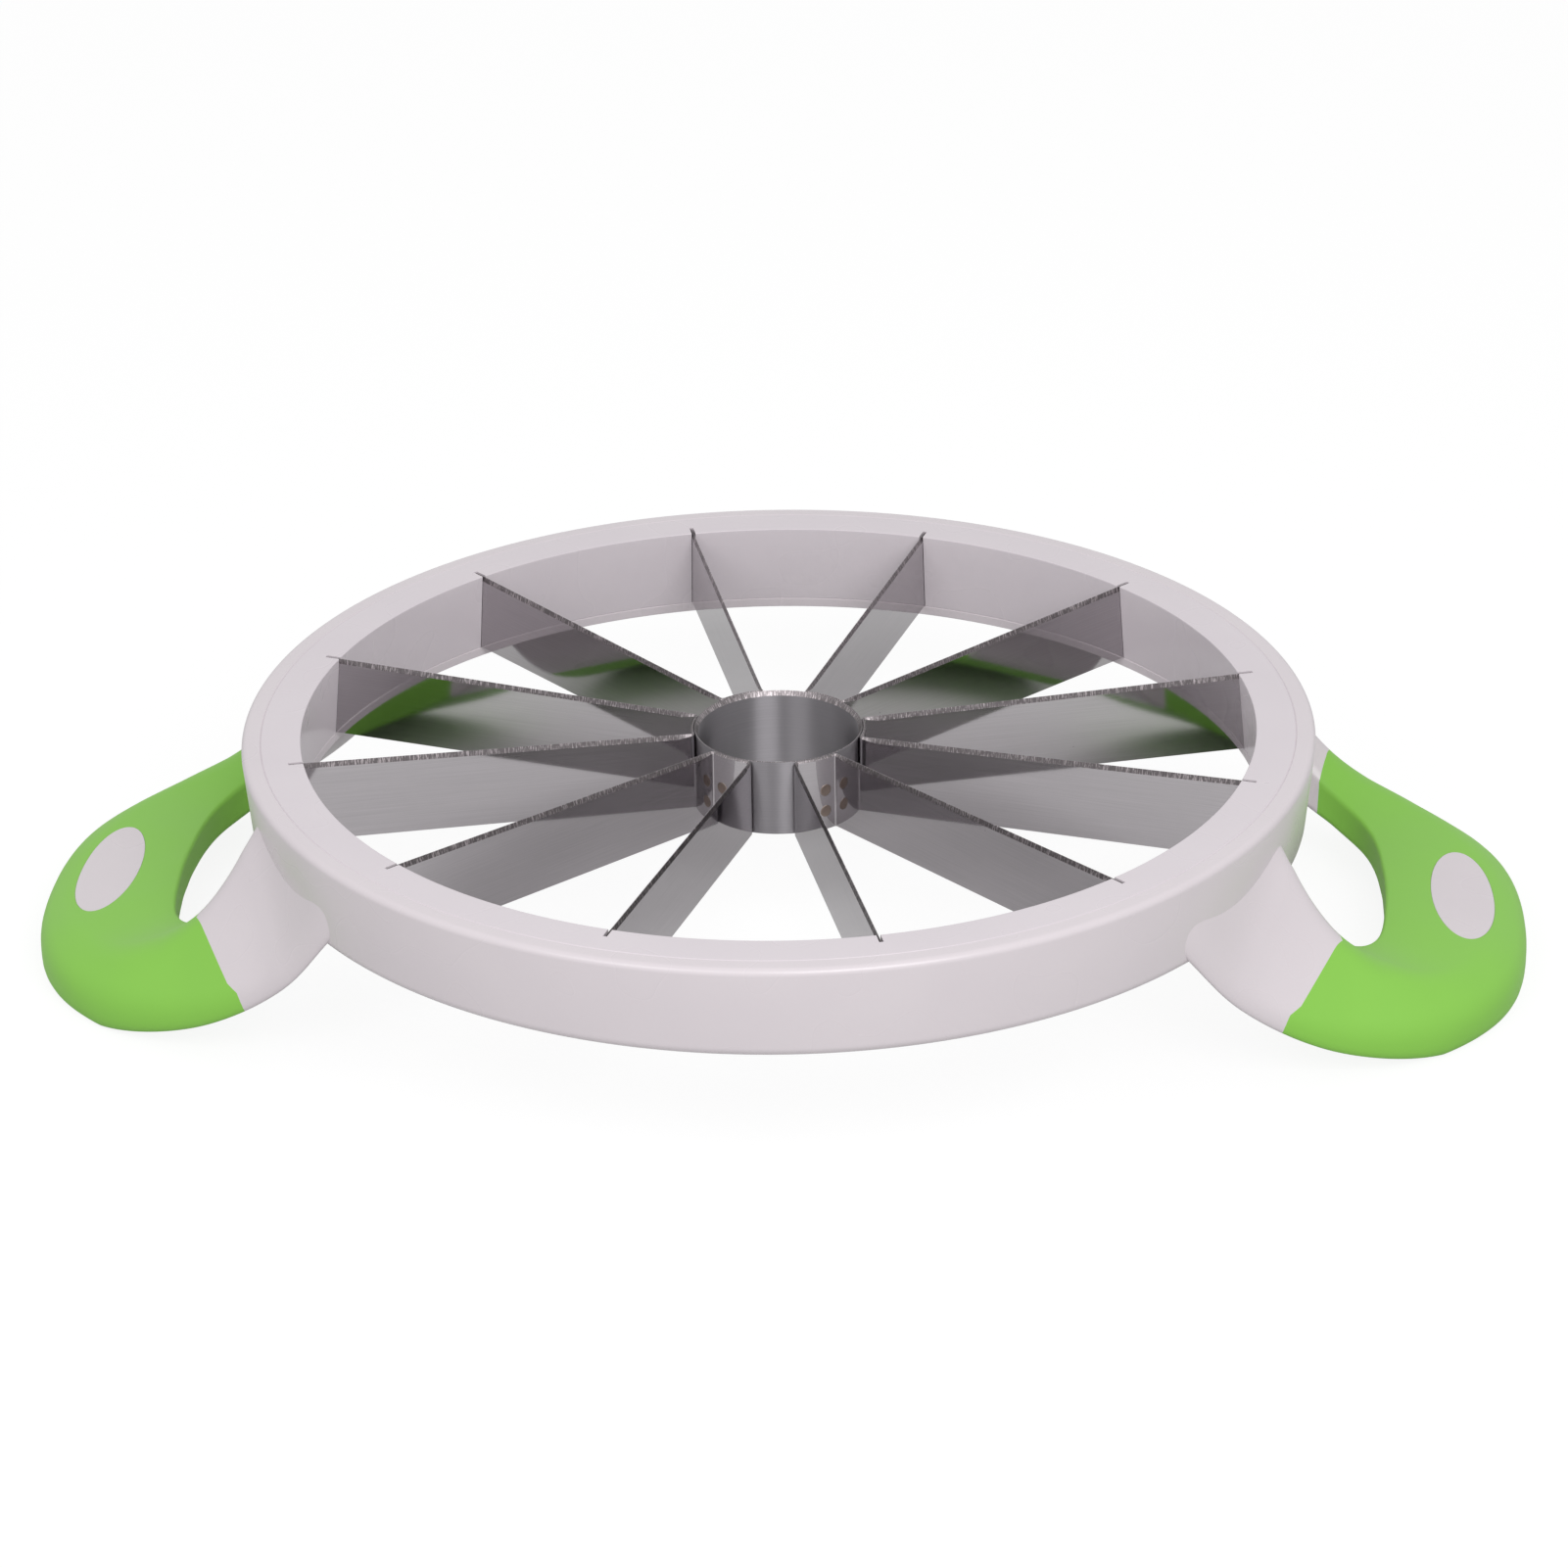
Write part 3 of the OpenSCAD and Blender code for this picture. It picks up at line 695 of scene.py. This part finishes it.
class SLICER_OT_hub(Operator):
    """Builds the rolled hub with its ground rim"""
    bl_idname = "slicer.hub"
    bl_label = "Hub"

    def execute(self, context):
        b, finish = context.scene.slicer.blades, context.scene.slicer.finish
        steel = rolled_steel("Stainless hub, brushed", list(finish.hub_grey), list(finish.weld_brown),
                             HUB_GLOSS, HUB_SPREAD)
        ground = ground_steel("Stainless hub rim, ground", list(finish.ground_grey))
        low, high = HUB_LOW, HUB_HIGH
        outer, inner, c = b.hub_d / 2, b.hub_d / 2 - b.hub_t, HUB_CHAMFER
        profile = [(inner + c, low), (outer - c, low), (outer, low + c), (outer, high - c),
                   (outer - b.edge_t, high), (inner, high - b.hub_bevel)]
        profile += between(profile[-1], (inner, low + c), HUB_ROWS) + [(inner, low + c)]
        points, faces = revolve(profile, HUB_STEPS)
        # The rim and the bevel inside it are ground
        slots = [1 if k % len(profile) in (3, 4) else 0 for k in range(len(faces))]
        hub = make_piece("hub_collar", points, faces, [steel, ground], METAL_CREASE, slots)
        grain = hub.data.uv_layers.new(name="strip")
        for loop in hub.data.loops:
            x, y, z = hub.data.vertices[loop.vertex_index].co
            grain.data[loop.index].uv = (math.atan2(y, x) * outer, z)
        place(hub, "blade_steel", "hub_ring")
        return {"FINISHED"}


# The bevel narrows to this share at the folds, over this run of the blade
FOLD_GRIND_SHARE = 0.35
GRIND_RUN = 4 * MM
# Strength of the heat tint at a weld, and how far it spreads over the strip
HEAT_SHARE = 0.75
HEAT_REACH = 2.1 * MM
# Moves each strip's grain along, so that no two look alike
GRAIN_SHIFT = 0.31


def strip_turn(number):
    """Turn round Z that takes the first strip to the place of another."""
    return Matrix.Rotation((number - 1) * STRIP_STEP, 3, "Z")


def strip_path(b, end_r):
    """Half a folded strip seen from above, from its end in the ring to the middle of its arc: each
    place on its mid line, with the direction in which its face away from the hub looks."""
    mid = b.hub_d / 2 + b.blade_t / 2 + HUB_PLAY
    r = b.fold_r
    out = Vector((math.cos(BLADE_TURN), math.sin(BLADE_TURN)))
    side = Vector((math.sin(BLADE_TURN), -math.cos(BLADE_TURN)))
    stations = []
    start = mid + r
    for i in range(ARM_STEPS):
        reach = end_r + (start - end_r) * i / ARM_STEPS
        stations.append((out * reach, side))
    centre = out * (mid + r) + side * r
    for i in range(FOLD_STEPS + 1):
        a = math.pi / 2 * i / FOLD_STEPS
        stations.append((centre - side * r * math.cos(a) - out * r * math.sin(a),
                         side * math.cos(a) + out * math.sin(a)))
    arc_r = math.hypot(mid, r)
    first = BLADE_TURN - math.atan2(r, mid)
    for i in range(1, HUG_STEPS + 1):
        a = first * (1 - i / HUG_STEPS)
        d = Vector((math.cos(a), math.sin(a)))
        stations.append((d * arc_r, d))
    return stations


class SLICER_OT_blades(Operator):
    """Builds the six folded strips, two blades each"""
    bl_idname = "slicer.blades"
    bl_label = "Blade strips"

    def execute(self, context):
        s, b, finish = (getattr(context.scene.slicer, n) for n in ("ring", "blades", "finish"))
        steel = rolled_steel("Stainless strip, rolled", list(finish.steel_grey),
                             list(finish.weld_brown), STRIP_GLOSS, STRIP_SPREAD)
        ground = ground_steel("Stainless edge, ground", list(finish.ground_grey))
        bore_r = s.ring_d / 2 - s.ring_w
        half = strip_path(b, bore_r + b.blade_seat)
        whole = half + [(Vector((p.x, -p.y)), Vector((n.x, -n.y))) for p, n in half[-2::-1]]
        low_z = BLADE_TOP - b.blade_h
        fold_r = b.hub_d / 2 + b.blade_t
        rows = STRIP_ROWS
        for number in range(1, STRIP_COUNT + 1):
            turn = strip_turn(number)
            welds = weld_spots(b, number)
            points, run, heat, far, last = [], [], [], 0.0, None
            for p, n in whole:
                far += (p - last).length if last else 0
                last = p
                share = min(1, max(0, (p.length - fold_r) / (bore_r - fold_r)))
                top = HUB_HIGH + (BLADE_TOP - HUB_HIGH) * share
                low = HUB_LOW + (low_z - HUB_LOW) * share
                t, e, c = b.blade_t / 2, b.edge_t / 2, STRIP_CHAMFER
                widen = min(1, max(0, (p.length - fold_r) / GRIND_RUN))
                grind = b.bevel_h * (FOLD_GRIND_SHARE + (1 - FOLD_GRIND_SHARE) * widen)
                shoulder = top - grind
                side = [(t, low + c + (shoulder - low - c) * k / rows) for k in range(rows + 1)]
                flat = ([(-t + c, low), (t - c, low)] + side + [(e, top), (-e, top)]
                        + [(-q, z) for q, z in side[::-1]])
                for q, z in flat:
                    spot = turn @ Vector((p.x + n.x * q, p.y + n.y * q, z))
                    points.append(spot)
                    run.append((far, z))
                    near = min((spot - w).length for w in welds)
                    heat.append(HEAT_SHARE * math.exp(-(near / HEAT_REACH) ** 2) if q > 0 else 0)
            size = len(points) // len(whole)
            faces = closed_rows(len(whole), size) + end_caps(len(whole), size)
            # The two bevels and the edge between them are ground
            slots = [1 if k % size in (rows + 2, rows + 3, rows + 4) and k < len(faces) - 2 else 0
                     for k in range(len(faces))]
            strip = make_piece(f"strip_{number}", points, faces, [steel, ground], METAL_CREASE, slots)
            grain = strip.data.uv_layers.new(name="strip")
            for loop in strip.data.loops:
                along, up = run[loop.vertex_index]
                grain.data[loop.index].uv = (along + number * GRAIN_SHIFT, up)
            tint = strip.data.attributes.new("heat", "FLOAT", "POINT")
            tint.data.foreach_set("value", heat)
            place(strip, "blade_steel", f"blade_pair_{number}")
        return {"FINISHED"}


WELD_TURN = math.radians(6)
WELD_HEIGHT_SHARE = 0.4
# Rounds of a pressed disc: share of its radius, height above the strip in millimetres, heat tint, which
# at the rim is partly painted shade
WELD_ROUNDS = ((1, -0.5, 1), (1, 0.01, 1), (0.93, 0.1, 1), (0.8, 0.13, 0.8), (0.66, 0.08, 0.1),
               (0.4, 0.07, 0))


def weld_spots(b, number):
    """Centres of a strip's two welds, on its outside. They lie to alternate sides of its middle."""
    a = WELD_TURN if number % 2 == 0 else -WELD_TURN
    r = b.hub_d / 2 + b.blade_t
    middle = HUB_LOW + b.hub_h * WELD_HEIGHT_SHARE
    turn = strip_turn(number)
    return [turn @ Vector((r * math.cos(a), r * math.sin(a), middle + side * b.weld_pitch / 2))
            for side in (-1, 1)]


class SLICER_OT_welds(Operator):
    """Builds the pressed spot welds that hold the strips to the hub"""
    bl_idname = "slicer.welds"
    bl_label = "Spot welds"

    def execute(self, context):
        b, finish = context.scene.slicer.blades, context.scene.slicer.finish
        steel = weld_steel("Stainless weld, heat-tinted", list(finish.weld_pale),
                           list(finish.weld_brown))
        points, faces, heat = [], [], []
        for number in range(1, STRIP_COUNT + 1):
            for spot in weld_spots(b, number):
                out = Vector((spot.x, spot.y, 0)).normalized()
                across = Vector((-out.y, out.x, 0))
                start = len(points)
                for share, rise, tint in WELD_ROUNDS:
                    r = b.weld_d / 2 * share
                    for a in (math.tau * i / WELD_STEPS for i in range(WELD_STEPS)):
                        # The disc follows the strip's curve round the hub
                        drop = (r * math.cos(a)) ** 2 / b.hub_d
                        points.append(spot + out * (rise * MM - drop) + across * (r * math.cos(a))
                                      + Vector((0, 0, r * math.sin(a))))
                        heat.append(tint)
                faces += closed_rows(len(WELD_ROUNDS), WELD_STEPS, start)
                faces += end_caps(len(WELD_ROUNDS), WELD_STEPS, start)
        welds = make_piece("weld_nuggets", points, faces, [steel], WELD_CREASE)
        tint = welds.data.attributes.new("heat", "FLOAT", "POINT")
        tint.data.foreach_set("value", heat)
        place(welds, "weld_steel", "spot_welds")
        return {"FINISHED"}


class SLICER_OT_grips(Operator):
    """Builds the soft grips of both handles, each with its oval window"""
    bl_idname = "slicer.grips"
    bl_label = "Grips"

    def execute(self, context):
        s, sizes, finish = (getattr(context.scene.slicer, n) for n in ("ring", "handles", "finish"))
        rubber = soft_rubber("Thermoplastic rubber, lime", list(finish.grip_green))
        handle = Handle(s, sizes)
        for side in ("right", "left"):
            outside = handle.grip(GRIP_STEPS, 0)
            inside = handle.grip(GRIP_STEPS, sizes.grip_t)
            size, count = len(outside[0]), len(outside)
            base, last = size * count, size * (count - 1)
            faces = closed_rows(count, size) + [f[::-1] for f in closed_rows(count, size, base)]
            # The two end faces run from the outside to the core
            for j in range(size):
                k = (j + 1) % size
                faces.append((j, base + j, base + k, k))
                faces.append((last + j, last + k, base + last + k, base + last + j))
            grip = make_piece(f"{side}_soft_grip", [p for ring in outside + inside for p in ring],
                              faces, [rubber], HANDLE_CREASE)
            cut(grip, handle.oval(0), "DIFFERENCE")
            if side == "left":
                mirrored_x(grip)
            finish_shading(grip, HANDLE_CREASE)
            place(grip, "grip_rubber", f"{side}_grip")
        return {"FINISHED"}


# Studio

# The camera's place in millimetres, its turns in degrees, and its lens
VIEW_FROM = (88.495, -1187.656, 629.724)
VIEW_AZIMUTH, VIEW_ELEVATION, VIEW_ROLL = 4.2, 26.13, -0.805
LENS_MM, FILM_MM = 115.65, 36

# How far the camera sees, and the studio's sizes and places, in metres
VIEW_REACH = 50
SOFTBOX_SIDE = 0.6
SOFTBOX_AIM = Vector((0, 0, 0.03))
KEY_SPOT = (0.36, -0.89, 0.8)
FILL_SPOT = (-0.47, -0.88, 0.84)
FLOOR_SIDE, FLOOR_CELLS = 8.0, 8

# Strength at which the card looks as white as the world behind it, its shadow's share included
CARD_GLOW = 1.06


def shown_rays(tree):
    """The light path node, and a share that is 1 for rays that show a picture: seen straight,
    mirrored or through the object."""
    rays = add(tree, "ShaderNodeLightPath")
    seen = add(tree, "ShaderNodeMath", {"operation": "MAXIMUM"}, links={
        0: rays.outputs["Is Camera Ray"], 1: rays.outputs["Is Glossy Ray"]})
    seen = add(tree, "ShaderNodeMath", {"operation": "MAXIMUM"}, links={
        0: seen.outputs[0], 1: rays.outputs["Is Transmission Ray"]})
    return rays, seen.outputs[0]


def studio_floor(name, shadow):
    # Seamless card: white to the eye and to the steel, with the object's shadow left in it.
    material = bpy.data.materials.new(name)
    material.use_nodes = True
    tree = material.node_tree
    tree.nodes.clear()
    rays, seen = shown_rays(tree)
    # The card's own grain, about 4 mm across, shows only where light falls on it
    spot = add(tree, "ShaderNodeTexCoord").outputs["Object"]
    fibre = add(tree, "ShaderNodeTexNoise", values={"Scale": 250}, links={"Vector": spot})
    pale = add(tree, "ShaderNodeMix", {"data_type": "RGBA"},
               {6: (0.88, 0.88, 0.88, 1), 7: (0.92, 0.92, 0.92, 1)}, {0: fibre.outputs["Fac"]})
    # What it throws back at the object is a little less than its white
    tone = add(tree, "ShaderNodeMix", {"data_type": "RGBA"}, {6: (0.5, 0.5, 0.5, 1)},
               {0: seen, 7: pale.outputs[2]})
    card = add(tree, "ShaderNodeBsdfDiffuse", links={"Color": tone.outputs[2]})
    glow = add(tree, "ShaderNodeEmission", values={"Color": (1, 1, 1, 1), "Strength": CARD_GLOW})
    share = add(tree, "ShaderNodeMapRange", values={3: 1, 4: shadow},
                links={0: rays.outputs["Is Camera Ray"]})
    both = add(tree, "ShaderNodeMixShader",
               links={0: share.outputs[0], 1: glow.outputs[0], 2: card.outputs[0]})
    add(tree, "ShaderNodeOutputMaterial", links={"Surface": both.outputs[0]})
    # Its glow is for the eye alone and lights nothing, so it isn't sampled as a lamp
    material.cycles.emission_sampling = "NONE"
    return material


def softbox(name, spot, power):
    """A square lamp at a spot, aimed at the slicer."""
    lamp = bpy.data.lights.new(name, "AREA")
    lamp.size = SOFTBOX_SIDE
    lamp.energy = power
    light = bpy.data.objects.new(name, lamp)
    light.location = spot
    light.rotation_mode = "QUATERNION"
    light.rotation_quaternion = (SOFTBOX_AIM - Vector(spot)).to_track_quat("-Z", "Y")
    bpy.context.scene.collection.objects.link(light)


class SLICER_OT_stage(Operator):
    """Sets up the white floor, the soft lights and the camera"""
    bl_idname = "slicer.stage"
    bl_label = "Studio"

    def execute(self, context):
        scene, studio = context.scene, context.scene.slicer.studio
        side, cells, row = FLOOR_SIDE, FLOOR_CELLS, FLOOR_CELLS + 1
        points = [(side * (i / cells - 0.5), side * (j / cells - 0.5), 0)
                  for i in range(row) for j in range(row)]
        faces = [(i * row + j, (i + 1) * row + j, (i + 1) * row + j + 1, i * row + j + 1)
                 for i in range(cells) for j in range(cells)]
        floor = make_piece("floor", points, faces, [studio_floor("White card", studio.floor_shadow)])

        world = bpy.data.worlds.new("Studio")
        world.use_nodes = True
        tree = world.node_tree
        tree.nodes.clear()
        seen = shown_rays(tree)[1]
        lit = add(tree, "ShaderNodeBackground",
                  values={"Color": (1, 1, 1, 1), "Strength": studio.sky_level})
        shown = add(tree, "ShaderNodeBackground", values={"Color": (1, 1, 1, 1), "Strength": 1})
        both = add(tree, "ShaderNodeMixShader", links={0: seen, 1: lit.outputs[0], 2: shown.outputs[0]})
        add(tree, "ShaderNodeOutputWorld", links={"Surface": both.outputs[0]})
        scene.world = world
        scene.view_settings.view_transform = "Standard"

        softbox("Key softbox", KEY_SPOT, studio.key_power)
        softbox("Fill softbox", FILL_SPOT, studio.fill_power)

        az, el = math.radians(VIEW_AZIMUTH), math.radians(VIEW_ELEVATION)
        back = Vector((math.sin(az) * math.cos(el), -math.cos(az) * math.cos(el), math.sin(el)))
        right = Vector((math.cos(az), math.sin(az), 0))
        up = back.cross(right)
        turn = Matrix((right, up, back)).transposed() @ Matrix.Rotation(math.radians(VIEW_ROLL), 3, "Z")
        lens = bpy.data.cameras.new("Camera")
        lens.sensor_width = FILM_MM
        lens.lens = LENS_MM
        lens.clip_end = VIEW_REACH
        camera = bpy.data.objects.new("Camera", lens)
        camera.matrix_world = Matrix.Translation(Vector(VIEW_FROM) * MM) @ turn.to_4x4()
        scene.collection.objects.link(camera)
        scene.camera = camera
        return {"FINISHED"}


class SLICER_PT_sidebar(Panel):
    """Lists the slicer's pieces and settings in the sidebar"""
    bl_idname = "SLICER_PT_sidebar"
    bl_label = "Watermelon slicer"
    bl_space_type = "VIEW_3D"
    bl_region_type = "UI"
    bl_category = "Slicer"

    def draw(self, context):
        for step in STEPS:
            self.layout.operator(step.bl_idname)
        for group in ("ring", "blades", "handles", "finish", "studio"):
            box = self.layout.box()
            settings = getattr(context.scene.slicer, group)
            for name in settings.__annotations__:
                box.prop(settings, name)


STEPS = (SLICER_OT_frame, SLICER_OT_blade_ring, SLICER_OT_hub, SLICER_OT_blades, SLICER_OT_welds,
         SLICER_OT_grips, SLICER_OT_stage)
GROUPS = (RingSizes, BladeSizes, HandleSizes, Finishes, StudioSettings, SlicerSettings)


def register():
    for group in GROUPS + STEPS + (SLICER_PT_sidebar,):
        bpy.utils.register_class(group)
    bpy.types.Scene.slicer = PointerProperty(type=SlicerSettings)


def unregister():
    del bpy.types.Scene.slicer
    for group in reversed(GROUPS + STEPS + (SLICER_PT_sidebar,)):
        bpy.utils.unregister_class(group)


def main():
    register()
    bpy.ops.slicer.frame()
    bpy.ops.slicer.blade_ring()
    bpy.ops.slicer.hub()
    bpy.ops.slicer.blades()
    bpy.ops.slicer.welds()
    bpy.ops.slicer.grips()
    bpy.ops.slicer.stage()


if __name__ == "__main__":
    main()
